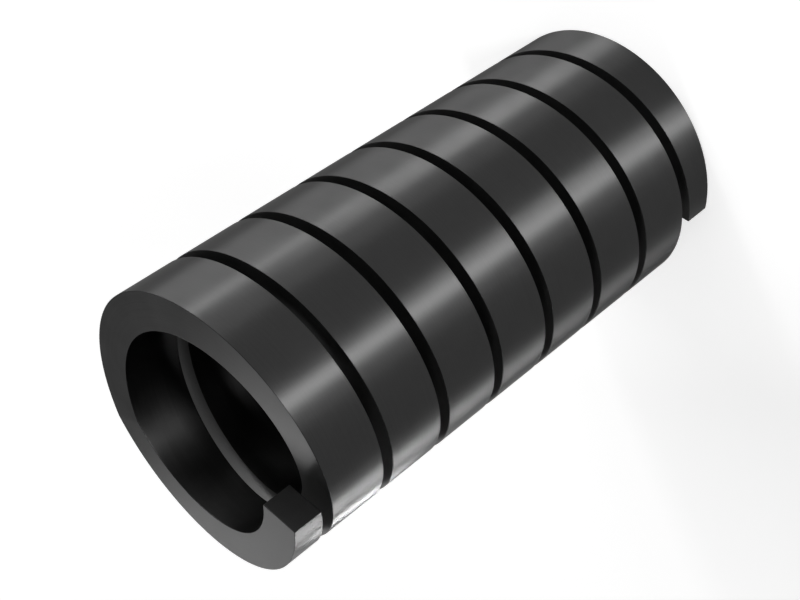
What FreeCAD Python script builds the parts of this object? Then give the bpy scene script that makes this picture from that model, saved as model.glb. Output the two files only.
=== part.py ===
import FreeCAD, Part
import Sketcher
import math
import os

# Compression spring of rectangular wire
#
# One steel wire is wound into a right-hand coil, with the long side of its section along the
# coil's axis and the same gap between all its turns. The end turns aren't closed up: each end
# of the coil is ground flat, square to the axis, so that the wire thins over its last part
# turn to a tip, which is cut off square.
#
# The origin is the centre of the lower ground end. +Z runs up the coil's axis, and the wire's
# lower tip lies on the +X side. Lengths are in millimetres.

NODE = "compression_spring"

SIZES = (
    ("outside_diameter", 35.0, "outside of the coil, for the hole that it works in"),
    ("inside_diameter", 25.0, "bore of the coil, for the rod that guides it"),
    ("wire_width", 7.5, "wire section measured along the axis of the coil"),
    ("coil_gap", 1.5, "space between one turn and the next"),
    ("coil_count", 8, "turns of wire from tip to tip"),
    ("tip_thickness", 3.75, "what the grinding leaves of the wire width at each tip"),
    ("turning_allowance", 0.5, "skin turned off the wound wire, outside and in the bore"),
)

# Lengths that follow from the sizes, as expressions that several features share
OUTSIDE_RADIUS = "(Sizes.outside_diameter / 2)"
INSIDE_RADIUS = "(Sizes.inside_diameter / 2)"
PITCH = "(Sizes.wire_width + Sizes.coil_gap)"
GRINDING_DEPTH = "(Sizes.wire_width - Sizes.tip_thickness)"
FREE_LENGTH = f"({PITCH} * Sizes.coil_count + Sizes.wire_width - 2 * {GRINDING_DEPTH})"


def make_sheet(doc):
    """The driving sizes, one to a row, with what each one means."""
    sheet = doc.addObject("Spreadsheet::Sheet", "Sizes")
    for row, (alias, value, meaning) in enumerate(SIZES, start=1):
        sheet.set(f"A{row}", alias)
        sheet.set(f"B{row}", str(value))
        sheet.setAlias(f"B{row}", alias)
        sheet.set(f"C{row}", meaning)
    doc.recompute()
    return sheet


def new_sketch(body, role, name):
    """A sketch on one of the body's own origin planes."""
    plane = next(f for f in body.Origin.OriginFeatures if f.Role == role)
    sketch = body.newObject("Sketcher::SketchObject", name)
    sketch.AttachmentSupport = [(plane, "")]
    sketch.MapMode = "FlatFace"
    return sketch


def bind(sketch, constraint, name, expression):
    """Adds a constraint under a name and ties its value to the sheet."""
    index = sketch.addConstraint(constraint)
    sketch.renameConstraint(index, name)
    sketch.setExpression(f"Constraints.{name}", expression)


def add_rectangle(sketch, left, right, bottom, top):
    """A rectangle whose four sides are placed from the sketch's origin by expressions."""
    x0, x1, y0, y1 = (sketch.evalExpression(e) for e in (left, right, bottom, top))
    corners = [FreeCAD.Vector(x, y, 0) for x, y in ((x0, y0), (x1, y0), (x1, y1), (x0, y1))]
    sides = [
        sketch.addGeometry(Part.LineSegment(corners[i], corners[(i + 1) % 4]), False)
        for i in range(4)
    ]
    for i, side in enumerate(sides):
        following = sides[(i + 1) % 4]
        sketch.addConstraint(Sketcher.Constraint("Coincident", side, 2, following, 1))
        direction = ("Horizontal", "Vertical")[i % 2]
        sketch.addConstraint(Sketcher.Constraint(direction, side))
    bind(sketch, Sketcher.Constraint("DistanceX", -1, 1, sides[0], 1, x0), "left", left)
    bind(sketch, Sketcher.Constraint("DistanceX", -1, 1, sides[2], 1, x1), "right", right)
    bind(sketch, Sketcher.Constraint("DistanceY", -1, 1, sides[0], 1, y0), "bottom", bottom)
    bind(sketch, Sketcher.Constraint("DistanceY", -1, 1, sides[2], 1, y1), "top", top)


def add_circle(sketch, name, radius):
    """A circle about the sketch's origin, with its radius given by an expression."""
    value = sketch.evalExpression(radius)
    circle = sketch.addGeometry(
        Part.Circle(FreeCAD.Vector(0, 0, 0), FreeCAD.Vector(0, 0, 1), value), False
    )
    sketch.addConstraint(Sketcher.Constraint("Coincident", circle, 3, -1, 1))
    bind(sketch, Sketcher.Constraint("Radius", circle, value), name, radius)


def wind_wire(body):
    """The wound wire, a little thick across the coil and not yet ground at its ends."""
    section = new_sketch(body, "XZ_Plane", "WireSection")
    add_rectangle(
        section,
        left=f"{INSIDE_RADIUS} - Sizes.turning_allowance",
        right=f"{OUTSIDE_RADIUS} + Sizes.turning_allowance",
        bottom=f"-{GRINDING_DEPTH}",
        top="Sizes.tip_thickness",
    )
    coil = body.newObject("PartDesign::AdditiveHelix", "WoundWire")
    coil.Profile = section
    coil.ReferenceAxis = (section, ["V_Axis"])
    coil.Mode = "pitch-turns-angle"
    coil.LeftHanded = False
    coil.setExpression("Pitch", PITCH)
    coil.setExpression("Turns", "Sizes.coil_count")


def cut_through(body, sketch, name, side, upwards=False):
    """Cuts the sketch away without limit, to one side of its plane or to both.

    Refine stays off: it would join the walls of all the turns into one face that wraps
    round onto itself.
    """
    pocket = body.newObject("PartDesign::Pocket", name)
    pocket.Profile = sketch
    pocket.Type = "ThroughAll"
    pocket.SideType = side
    pocket.Reversed = upwards
    pocket.Refine = False


def turn_true(body):
    """Turns the skin off the wound wire, which makes its outside and its bore cylinders."""
    outside = new_sketch(body, "XY_Plane", "OutsideSkin")
    add_circle(outside, "finished", OUTSIDE_RADIUS)
    add_circle(outside, "clear", f"{OUTSIDE_RADIUS} + 2 * Sizes.turning_allowance")
    cut_through(body, outside, "TurnedOutside", "Symmetric")
    bore = new_sketch(body, "XY_Plane", "BoreSkin")
    add_circle(bore, "finished", INSIDE_RADIUS)
    cut_through(body, bore, "TurnedBore", "Symmetric")


def grind_ends(body):
    """Grinds both ends of the coil flat and square to its axis."""
    clear_radius = f"{OUTSIDE_RADIUS} + Sizes.wire_width"
    lower = new_sketch(body, "XY_Plane", "LowerEnd")
    add_circle(lower, "clear", clear_radius)
    cut_through(body, lower, "GroundLowerEnd", "One side")
    upper = new_sketch(body, "XY_Plane", "UpperEnd")
    upper.setExpression("AttachmentOffset.Base.z", FREE_LENGTH)
    add_circle(upper, "clear", clear_radius)
    cut_through(body, upper, "GroundUpperEnd", "One side", upwards=True)


def expected_volume(sheet):
    """The wire's section swept round the coil, less the wedge ground off each end."""
    ring = math.pi / 4 * (sheet.outside_diameter**2 - sheet.inside_diameter**2)
    pitch = sheet.wire_width + sheet.coil_gap
    depth = sheet.wire_width - sheet.tip_thickness
    return ring * (sheet.wire_width * sheet.coil_count - depth**2 / pitch)


def check(doc, sheet, body):
    """Stops if a feature failed or the solid isn't the one that the sizes ask for."""
    for item in doc.Objects:
        if "Invalid" in item.State or "Error" in item.State:
            raise RuntimeError(f"{item.Label} failed: {item.State}")
    shape = body.Shape
    if shape.isNull() or not shape.isValid() or len(shape.Solids) != 1:
        raise RuntimeError(f"{body.Label} isn't one valid solid")
    expected = expected_volume(sheet)
    if not math.isclose(shape.Volume, expected, rel_tol=0.001):
        raise RuntimeError(f"{body.Label} has {shape.Volume:.1f} mm3, not {expected:.1f}")
    print(f"{body.Label}: {shape.Volume:.2f} mm3, expected {expected:.2f}")


def main():
    doc = FreeCAD.newDocument("CompressionSpring")
    sheet = make_sheet(doc)
    body = doc.addObject("PartDesign::Body", "Spring")
    body.Label = NODE
    wind_wire(body)
    turn_true(body)
    grind_ends(body)
    doc.recompute()
    body.Placement = FreeCAD.Placement()
    check(doc, sheet, body)
    os.makedirs("parts", exist_ok=True)
    body.Shape.exportStep(os.path.join("parts", f"{body.Label}.step"))


main()
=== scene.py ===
import math

import bpy
from mathutils import Matrix, Vector


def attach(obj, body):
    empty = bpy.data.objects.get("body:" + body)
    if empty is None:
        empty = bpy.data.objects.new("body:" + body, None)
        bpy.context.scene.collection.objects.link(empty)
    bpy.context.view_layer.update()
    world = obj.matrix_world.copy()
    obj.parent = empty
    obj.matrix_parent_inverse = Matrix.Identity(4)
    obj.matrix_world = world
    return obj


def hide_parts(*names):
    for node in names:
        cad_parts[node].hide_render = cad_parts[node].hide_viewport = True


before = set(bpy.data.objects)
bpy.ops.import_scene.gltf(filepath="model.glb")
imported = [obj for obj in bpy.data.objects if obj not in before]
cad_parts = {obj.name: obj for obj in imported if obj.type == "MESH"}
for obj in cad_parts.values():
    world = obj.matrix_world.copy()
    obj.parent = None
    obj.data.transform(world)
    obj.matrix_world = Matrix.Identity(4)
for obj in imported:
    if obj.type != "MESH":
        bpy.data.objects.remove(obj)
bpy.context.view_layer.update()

# Compression spring of rectangular wire
#
# The spring stands on its ground lower end on a pale studio floor. Its wire is drawn steel with
# a satin black finish, wound with an even gap between the turns and ground flat at both ends.
# The origin is the centre of the lower end, +Z runs up the coil's axis, and the wire's tips lie
# on the +X side. Lengths are in metres.

MM = 0.001
WHOLE_TURN = 2 * math.pi
QUARTER_TURN = math.pi / 2

# The spring's own sizes
OUTSIDE_DIAMETER = 35 * MM
INSIDE_DIAMETER = 25 * MM
WIRE_WIDTH = 7.5 * MM
COIL_GAP = 1.5 * MM
COIL_COUNT = 8
TIP_THICKNESS = 3.75 * MM
EDGE_BREAK = 0.04 * MM
FREE_LENGTH = COIL_COUNT * (WIRE_WIDTH + COIL_GAP) + 2 * TIP_THICKNESS - WIRE_WIDTH

# How finely the wire is divided: rows to a turn, facets that round a broken edge, the narrow
# strip kept on both sides of each such edge, and the distance within which points become one
STATIONS_PER_TURN = 180
EDGE_FACETS = 3
EDGE_MARGIN = 0.08 * MM
MERGE_DISTANCE = 0.001 * MM

# Rows and points are whole numbers, so they are compared and rounded half a step off
HALF_STEP = 0.5

# A face looks a given way if the cosine of the angle between them is above this
FACING = 0.97

# Attribute that carries the place along, across and up the wire, for the drawn grain
GRAIN = "wire_grain"

# The marks on the steel and the patches in its finish, and how much detail their noise has
DRAWN_LINE_LENGTH = 14 * MM
DRAWN_LINE_WIDTH = 0.14 * MM
SCRATCH_LENGTH = 9 * MM
SCRATCH_WIDTH = 0.11 * MM
SCRATCH_ANGLE = math.radians(20)
MARK_DETAIL = 3.0
PATCH_SIZE = 3.5 * MM
PATCH_DETAIL = 4.0

# The middle range of a noise, and how far it moves the shade, as a share of it, and the
# roughness
NOISE_LOW = 0.3
NOISE_HIGH = 0.7
SHADE_SWING = 0.12
ROUGHNESS_SWING = 0.03

# The three finishes: shade of grey, roughness and depth of the marks. The lines on the outer
# wall also pull its highlights out along the coil's axis. The face finish is lighter partly
# for the ground ends' bare steel and partly as painted light on every face that looks along
# the axis. The bore finish's dark shade is painted shade in the bore and on the cut faces,
# and it dims the broken edges' glints.
WALL_FINISH = {"shade": 0.0585, "roughness": 0.45, "mark_depth": 0.006 * MM, "grain_pull": 1.0}
FACE_FINISH_PAINTED_LIGHT = {"shade": 0.1115, "roughness": 0.36, "mark_depth": 0.004 * MM}
BORE_FINISH_PAINTED_SHADE = {"shade": 0.022, "roughness": 0.38, "mark_depth": 0.0012 * MM}

# The grey that tints what the steel reflects at a grazing angle, and the part of a whole turn
# between its drawn lines and the highlights that they pull out
GRAZING_TINT = 0.5
HIGHLIGHT_TURN = 0.25

# The floor, a hair below the spring, and the light that comes from all round
FLOOR_HALF_WIDTH = 4.0
FLOOR_DROP = 0.02 * MM
FLOOR_SHADE = 0.8
FLOOR_GLOW = 0.45
WORLD_STRENGTH = 0.33

# Points that the lamps face
MIDDLE = Vector((0, 0, 36)) * MM
UPPER_END = Vector((0, 0, 71)) * MM
LOWER_TURNS = Vector((0, 0, 20)) * MM
GLINT_PLACE = Vector((16.8, -5, 60.9)) * MM

# Distance from that point, and spread in degrees, of a lamp that gives none of its own
LAMP_DISTANCE = 0.9
FULL_SPREAD = 180

# Soft boxes round the spring: name, azimuth and elevation in degrees, width and height in
# metres, and radiance. The four that stand near the spring also give their distance, the point
# that they face and their spread.
LAMPS = (
    ("narrow_lamp", 36, 4.8, 0.164, 0.11, 114),
    ("narrow_tail", 46, 0, 0.026, 0.02, 1.25, 0.2, LOWER_TURNS, 26),
    ("narrow_fill", 22, 4.8, 0.19, 0.11, 8),
    ("broad_lamp", 147, 11, 0.727, 0.285, 9.4),
    ("broad_edge", 128, 11, 0.11, 0.285, 21.6),
    ("broad_side", 110, 11, 0.38, 0.285, 3.9),
    ("broad_tail", 117.5, 0, 0.032, 0.02, 1.6, 0.2, LOWER_TURNS, 26),
    ("broad_fill", 185, 11, 0.449, 0.285, 1.9),
    ("rim_side", 313, 2.5, 0.2, 0.079, 9.4),
    ("rim_fill", 277, 2.5, 0.33, 0.079, 25.4),
    ("rim_streak", 306, 0, 0.024, 0.01, 37.6, 0.1, UPPER_END, 100),
    ("rim_glint", 278.5, 0, 0.003, 0.003, 23.5, 0.028, GLINT_PLACE, 40),
    ("back_lamp", 243, 17, 0.22, 0.126, 5.8),
)

# The camera stands beside the spring, looks down on it, and is rolled so that the coil's axis
# runs from the upper right of the picture to its lower left. Its roll is in degrees, its lens
# and sensor are in millimetres, and it sees from the near to the far clip in metres.
CAMERA_POSITION = Vector((79.45, 110.54, 118.43)) * MM
CAMERA_TARGET = Vector((0.79, -0.56, 39.93)) * MM
CAMERA_ROLL = -125.29
CAMERA_LENS = 57.77
CAMERA_SENSOR = 36.0
CAMERA_NEAR_CLIP = 0.005
CAMERA_FAR_CLIP = 20


def grey(shade):
    """A colour as a socket takes it."""
    return (shade, shade, shade, 1.0)


def add_object(name, data):
    """A new object in the scene, at the origin."""
    item = bpy.data.objects.new(name, data)
    bpy.context.collection.objects.link(item)
    return item


class Number:
    """A number that a node tree works out point by point, for use in ordinary sums."""

    def __init__(self, tree, socket):
        self.tree = tree
        self.socket = socket

    def __add__(self, other):
        return self.tree.work("ADD", self, other)

    def __sub__(self, other):
        return self.tree.work("SUBTRACT", self, other)

    def __rsub__(self, other):
        return self.tree.work("SUBTRACT", other, self)

    def __mul__(self, other):
        return self.tree.work("MULTIPLY", self, other)

    def __rmul__(self, other):
        return self.tree.work("MULTIPLY", other, self)

    def __truediv__(self, other):
        return self.tree.work("DIVIDE", self, other)

    def __gt__(self, other):
        return self.tree.work("GREATER_THAN", self, other)

    def __lt__(self, other):
        return self.tree.work("LESS_THAN", self, other)


class Tree:
    """A node tree, emptied, with short ways to add to it."""

    def __init__(self, graph):
        self.graph = graph
        self.graph.nodes.clear()

    def fill(self, socket, value):
        """Links the socket to the value, if another node gives it, or else writes it there."""
        if isinstance(value, Number):
            value = value.socket
        if isinstance(value, bpy.types.NodeSocket):
            self.graph.links.new(value, socket)
        else:
            socket.default_value = value

    def node(self, kind, inputs=None, **settings):
        made = self.graph.nodes.new(kind)
        for name, value in settings.items():
            setattr(made, name, value)
        for key, value in (inputs or {}).items():
            self.fill(made.inputs[key], value)
        return made

    def socket(self, kind, inputs=None, output=0, **settings):
        """What a new node gives out, by its first output unless another is named."""
        return self.node(kind, inputs, **settings).outputs[output]

    def number(self, kind, inputs=None, output=0, **settings):
        """The same for a number that goes into sums."""
        return Number(self, self.socket(kind, inputs, output, **settings))

    def work(self, operation, *terms):
        return self.number("ShaderNodeMath", dict(enumerate(terms)), operation=operation)

    def larger(self, a, b):
        return self.work("MAXIMUM", a, b)

    def smaller(self, a, b):
        return self.work("MINIMUM", a, b)

    def share(self, value):
        """The value kept between 0 and 1."""
        return self.smaller(self.larger(value, 0), 1)


class Recipe(Tree):
    """A Geometry Nodes tree with named inputs for its sizes."""

    def __init__(self, name):
        super().__init__(bpy.data.node_groups.new(name, "GeometryNodeTree"))
        self.graph.interface.new_socket(
            "Geometry", in_out="OUTPUT", socket_type="NodeSocketGeometry"
        )
        self.entry = self.node("NodeGroupInput")
        self.settings = {}

    def size(self, name, value, kind="NodeSocketFloat"):
        """A named input of the tree, with the value that the modifier gives it."""
        item = self.graph.interface.new_socket(name, in_out="INPUT", socket_type=kind)
        self.settings[item.identifier] = value
        return Number(self, self.entry.outputs[name])

    def vector(self, x, y, z):
        return self.socket("ShaderNodeCombineXYZ", {"X": x, "Y": y, "Z": z})

    def finish(self, geometry):
        self.node("NodeGroupOutput", {"Geometry": geometry})

    def run(self, name):
        """The tree's result as a plain mesh object at the origin."""
        blank = add_object("blank", bpy.data.meshes.new("blank"))
        modifier = blank.modifiers.new("recipe", "NODES")
        modifier.node_group = self.graph
        for identifier, value in self.settings.items():
            modifier[identifier] = value
        bpy.context.view_layer.update()
        evaluated = blank.evaluated_get(bpy.context.evaluated_depsgraph_get())
        mesh = bpy.data.meshes.new_from_object(evaluated)
        bpy.data.objects.remove(blank)
        mesh.name = name
        return add_object(name, mesh)


class Surface(Tree):
    """A material's node tree."""

    def __init__(self, name):
        self.material = bpy.data.materials.new(name)
        self.material.use_nodes = True
        super().__init__(self.material.node_tree)

    def finish(self, shader):
        self.node("ShaderNodeOutputMaterial", {"Surface": shader})
        return self.material


def spring_recipe(wall_finish, face_finish_painted_light, bore_finish_painted_shade):
    """The wire, laid out as rows of a grid that run round its section, from tip to tip.

    The section is a rectangle with its four edges broken. The grinding shows as a limit on
    how low and how high the section reaches. Each tip closes with rows that follow the broken
    edge round onto the cut face, and a last row that meets in the middle of that face.
    """
    r = Recipe("rectangular_wire_spring")
    outside = r.size("Outside Diameter", OUTSIDE_DIAMETER)
    inside = r.size("Inside Diameter", INSIDE_DIAMETER)
    width = r.size("Wire Width", WIRE_WIDTH)
    gap = r.size("Coil Gap", COIL_GAP)
    turns = r.size("Coil Count", COIL_COUNT, "NodeSocketInt")
    tip = r.size("Tip Thickness", TIP_THICKNESS)
    edge = r.size("Edge Break", EDGE_BREAK)
    margin = r.size("Edge Margin", EDGE_MARGIN)
    per_turn = r.size("Stations Per Turn", STATIONS_PER_TURN, "NodeSocketInt")
    facets = r.size("Edge Facets", EDGE_FACETS, "NodeSocketInt")
    # The face finish's lighter shade is partly painted light, and the bore finish's dark shade
    # is painted shade
    wall_steel = r.size("Wall Finish", wall_finish, "NodeSocketMaterial")
    face_steel_painted_light = r.size("Face Finish Painted Light", face_finish_painted_light, "NodeSocketMaterial")
    bore_steel_painted_shade = r.size("Bore Finish Painted Shade", bore_finish_painted_shade, "NodeSocketMaterial")

    # Rows along the wire, and points round its section. Counted from a tip, the broken edge of
    # the cut face starts at edge_row and the coil itself after cap_rows. Counted round the
    # section, each corner's broken edge starts at edge_step.
    edge_row = 2
    cap_rows = facets + edge_row + 1
    last_row = turns * per_turn + 2 * cap_rows
    edge_step = 1
    last_step = facets + edge_step + 1
    corner_points = last_step + 1
    ring_points = 4 * corner_points + 1
    grid = r.socket(
        "GeometryNodeMeshGrid", {"Vertices X": last_row + 1, "Vertices Y": ring_points}
    )
    index = r.number("GeometryNodeInputIndex")
    row = r.work("FLOOR", (index + HALF_STEP) / ring_points)
    point = index - row * ring_points

    # How far each row lies from its nearer tip, and what the broken edge takes off it there
    from_tip = r.smaller(row, last_row - row)
    round_tip = r.share((from_tip - edge_row) / facets) * QUARTER_TURN
    on_cut_face = from_tip < edge_row - HALF_STEP
    past_edge = from_tip > cap_rows - HALF_STEP
    inset = edge * (1 - r.work("SINE", round_tip)) + margin * on_cut_face
    set_back = edge * (1 - r.work("COSINE", round_tip)) + margin * past_edge
    opened = from_tip > HALF_STEP

    # Where each point lies round the section: its corner, and its angle on the broken edge
    corner = r.work("FLOOR", (point + HALF_STEP) / corner_points)
    step = point - corner * corner_points
    angle = (corner + r.share((step - edge_step) / facets)) * QUARTER_TURN
    diagonal = (corner + 0.5) * QUARTER_TURN
    outward = r.work("SIGN", r.work("COSINE", diagonal))
    upward = r.work("SIGN", r.work("SINE", diagonal))
    cosine = r.work("COSINE", angle)
    sine = r.work("SINE", angle)
    shift = margin * ((step > last_step - HALF_STEP) - (step < edge_step - HALF_STEP))
    rounding = r.larger(edge - inset, 0)
    held_in = r.larger(edge, inset)

    # Radius of the point, and its angle round the coil
    mean_radius = (outside + inside) / 4
    half_wall = (outside - inside) / 4
    across = outward * (half_wall - held_in) + rounding * cosine - shift * sine
    radius = mean_radius + opened * across
    wound = (row - cap_rows) / per_turn * WHOLE_TURN
    near_tip = set_back / radius
    far_side = row > last_row / 2
    at_tip = near_tip + far_side * (turns * WHOLE_TURN - 2 * near_tip)
    along_coil = from_tip > cap_rows + HALF_STEP
    theta = at_tip + along_coil * (wound - at_tip)

    # Lowest and highest reach of the section there, after grinding
    climb = theta / WHOLE_TURN * (width + gap)
    free_length = (width + gap) * turns + 2 * tip - width
    low = r.larger(climb - (width - tip), 0)
    high = r.smaller(climb + tip, free_length)
    half_height = (high - low) / 2
    up = upward * (half_height - held_in) + rounding * sine + shift * cosine
    height = (low + high) / 2 + opened * up

    place = r.vector(radius * r.work("COSINE", theta), radius * r.work("SINE", theta), height)
    laid = r.socket("GeometryNodeSetPosition", {"Geometry": grid, "Position": place})
    grain = r.vector(theta * mean_radius, radius, height - climb)
    marked = r.socket(
        "GeometryNodeStoreNamedAttribute",
        {"Geometry": laid, "Name": GRAIN, "Value": grain},
        data_type="FLOAT_VECTOR",
        domain="POINT",
    )
    closed = r.socket(
        "GeometryNodeMergeByDistance", {"Geometry": marked, "Distance": MERGE_DISTANCE}
    )
    smooth = r.socket("GeometryNodeSetShadeSmooth", {"Geometry": closed})
    single = r.socket("GeometryNodeRealizeInstances", {"Geometry": smooth})
    r.finish(coated(r, single, wall_steel, face_steel_painted_light, bore_steel_painted_shade))
    return r


def coated(r, wire, wall_steel, face_steel_painted_light, bore_steel_painted_shade):
    """The wire with its three finishes, each on the faces that look its way.

    The outer wall faces straight out from the coil's axis, and the flanks and the ground ends
    face nearly along it; their finish is lighter, partly as painted light. The bore, the cut
    faces and the broken edges are what is left, and their darkest finish is painted shade.
    """
    position = r.socket("GeometryNodeInputPosition")
    from_axis = r.socket(
        "ShaderNodeVectorMath", {0: position, 1: (1, 1, 0)}, operation="MULTIPLY"
    )
    radial = r.socket("ShaderNodeVectorMath", {0: from_axis}, operation="NORMALIZE")
    normal = r.socket("GeometryNodeInputNormal")
    outward_look = r.number(
        "ShaderNodeVectorMath", {0: normal, 1: radial}, "Value", operation="DOT_PRODUCT"
    )
    axial_look = r.work("ABSOLUTE", r.number("ShaderNodeSeparateXYZ", {0: normal}, "Z"))
    layers = (
        (True, bore_steel_painted_shade),
        (axial_look > FACING, face_steel_painted_light),
        (outward_look > FACING, wall_steel),
    )
    for chosen, steel in layers:
        inputs = {"Geometry": wire, "Selection": chosen, "Material": steel}
        wire = r.socket("GeometryNodeSetMaterial", inputs)
    return wire


def noise(s, place, along, across, detail):
    """Noise with grains of the given length along x and the given width along y and z."""
    scale = (1 / along, 1 / across, 1 / across)
    stretched = s.socket("ShaderNodeMapping", {"Vector": place, "Scale": scale})
    inputs = {"Vector": stretched, "Scale": 1.0, "Detail": detail}
    return s.number("ShaderNodeTexNoise", inputs)


def swing(s, value, middle, reach):
    """A number that a noise moves to both sides of its middle, as far as its reach."""
    inputs = {
        "Value": value,
        "From Min": NOISE_LOW,
        "From Max": NOISE_HIGH,
        "To Min": middle - reach,
        "To Max": middle + reach,
    }
    return s.number("ShaderNodeMapRange", inputs)


def satin_black(name, shade, roughness, mark_depth, grain_pull=0.0):
    """Steel under a thin satin black finish, through which the marks of its making show.

    Fine lines left by drawing run along the wire. On the ground ends they give way to the
    wheel's scratches. The finish itself is a little uneven, in patches of a few millimetres.
    """
    s = Surface(name)
    wire = s.socket("ShaderNodeAttribute", output="Vector", attribute_name=GRAIN)
    solid = s.socket("ShaderNodeTexCoord", output="Object")

    drawn = noise(s, wire, DRAWN_LINE_LENGTH, DRAWN_LINE_WIDTH, MARK_DETAIL)
    turned = s.socket("ShaderNodeVectorRotate", {"Vector": solid, "Angle": SCRATCH_ANGLE})
    ground = noise(s, turned, SCRATCH_LENGTH, SCRATCH_WIDTH, MARK_DETAIL)
    middle = FREE_LENGTH / 2
    height = s.number("ShaderNodeSeparateXYZ", {"Vector": solid}, "Z")
    on_end = s.work("ABSOLUTE", height - middle) > middle - EDGE_BREAK / 2
    marks = s.number("ShaderNodeMix", {"Factor": on_end, "A": drawn, "B": ground})
    patches = noise(s, solid, PATCH_SIZE, PATCH_SIZE, PATCH_DETAIL)

    unevenness = (marks + patches) * 0.5
    # The shade given here carries painted light in the face finish and painted shade in the bore
    # finish
    tone = swing(s, unevenness, shade, shade * SHADE_SWING)
    relief = {"Strength": 1.0, "Distance": mark_depth, "Height": marks}
    inputs = {
        "Base Color": s.socket("ShaderNodeCombineColor", {0: tone, 1: tone, 2: tone}),
        "Metallic": 1.0,
        "Roughness": swing(s, unevenness, roughness, ROUGHNESS_SWING),
        "Specular Tint": grey(GRAZING_TINT),
        "Normal": s.socket("ShaderNodeBump", relief),
    }
    if grain_pull:
        inputs["Anisotropic"] = grain_pull
        inputs["Anisotropic Rotation"] = HIGHLIGHT_TURN
        inputs["Tangent"] = s.socket("ShaderNodeTangent", direction_type="RADIAL", axis="Z")
    return s.finish(s.socket("ShaderNodeBsdfPrincipled", inputs))


def pale_floor():
    """A matt floor that glows where the camera, gloss or glass looks at it."""
    s = Surface("pale_floor")
    rays = s.node("ShaderNodeLightPath").outputs
    by_camera_or_gloss = s.larger(rays["Is Camera Ray"], rays["Is Glossy Ray"])
    seen = s.larger(by_camera_or_gloss, rays["Is Transmission Ray"])
    matt = s.socket("ShaderNodeBsdfDiffuse", {"Color": grey(FLOOR_SHADE)})
    glow = s.socket("ShaderNodeEmission", {"Strength": seen * FLOOR_GLOW})
    return s.finish(s.socket("ShaderNodeAddShader", {0: matt, 1: glow}))


def studio_floor():
    """A plain pale floor that keeps the spring's shadow."""
    mesh = bpy.data.meshes.new("floor")
    half = FLOOR_HALF_WIDTH
    corners = [(-half, -half), (half, -half), (half, half), (-half, half)]
    mesh.from_pydata([(x, y, -FLOOR_DROP) for x, y in corners], [], [(0, 1, 2, 3)])
    mesh.materials.append(pale_floor())
    floor = add_object("floor", mesh)


def studio_surroundings():
    """White surroundings, the same all round."""
    world = bpy.data.worlds.new("studio")
    bpy.context.scene.world = world
    world.use_nodes = True
    tree = Tree(world.node_tree)
    white = tree.socket("ShaderNodeBackground", {"Color": grey(1.0), "Strength": WORLD_STRENGTH})
    tree.node("ShaderNodeOutputWorld", {"Surface": white})


def soft_box(
    name, azimuth, elevation, width, height, radiance,
    distance=LAMP_DISTANCE, aim=MIDDLE, spread=FULL_SPREAD,
):
    """A rectangular lamp that faces a point on or beside the spring's axis."""
    lamp = bpy.data.lights.new(name, "AREA")
    lamp.shape = "RECTANGLE"
    lamp.size = width
    lamp.size_y = height
    lamp.energy = radiance * math.pi * width * height
    lamp.spread = math.radians(spread)
    turn = math.radians(azimuth)
    rise = math.radians(elevation)
    away = Vector((
        math.cos(rise) * math.cos(turn),
        math.cos(rise) * math.sin(turn),
        math.sin(rise),
    ))
    item = add_object(name, lamp)
    item.rotation_mode = "QUATERNION"
    item.rotation_quaternion = away.to_track_quat("Z", "Y")
    item.location = aim + distance * away
    item.visible_camera = False


def studio_camera():
    """The camera at the photograph's viewing angle."""
    optics = bpy.data.cameras.new("camera")
    optics.lens = CAMERA_LENS
    optics.sensor_width = CAMERA_SENSOR
    optics.sensor_fit = "HORIZONTAL"
    optics.clip_start = CAMERA_NEAR_CLIP
    optics.clip_end = CAMERA_FAR_CLIP
    level = (CAMERA_TARGET - CAMERA_POSITION).to_track_quat("-Z", "Y").to_matrix()
    turned = level @ Matrix.Rotation(math.radians(CAMERA_ROLL), 3, "Z")
    camera = add_object("camera", optics)
    camera.matrix_world = Matrix.Translation(CAMERA_POSITION) @ turned.to_4x4()
    bpy.context.scene.camera = camera


# The face steel is lighter partly as painted light; the bore steel is darker as painted shade in
# the bore, on the cut faces and over the broken edges
wall_steel = satin_black("satin_black_wall", **WALL_FINISH)
face_steel_painted_light = satin_black("satin_black_face", **FACE_FINISH_PAINTED_LIGHT)
bore_steel_painted_shade = satin_black("satin_black_bore", **BORE_FINISH_PAINTED_SHADE)
spring = spring_recipe(wall_steel, face_steel_painted_light, bore_steel_painted_shade).run("spring_wire")
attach(spring, "root")
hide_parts("compression_spring")

studio_floor()
studio_surroundings()
studio_camera()
for lamp in LAMPS:
    soft_box(*lamp)

bpy.context.scene.view_settings.view_transform = "Standard"
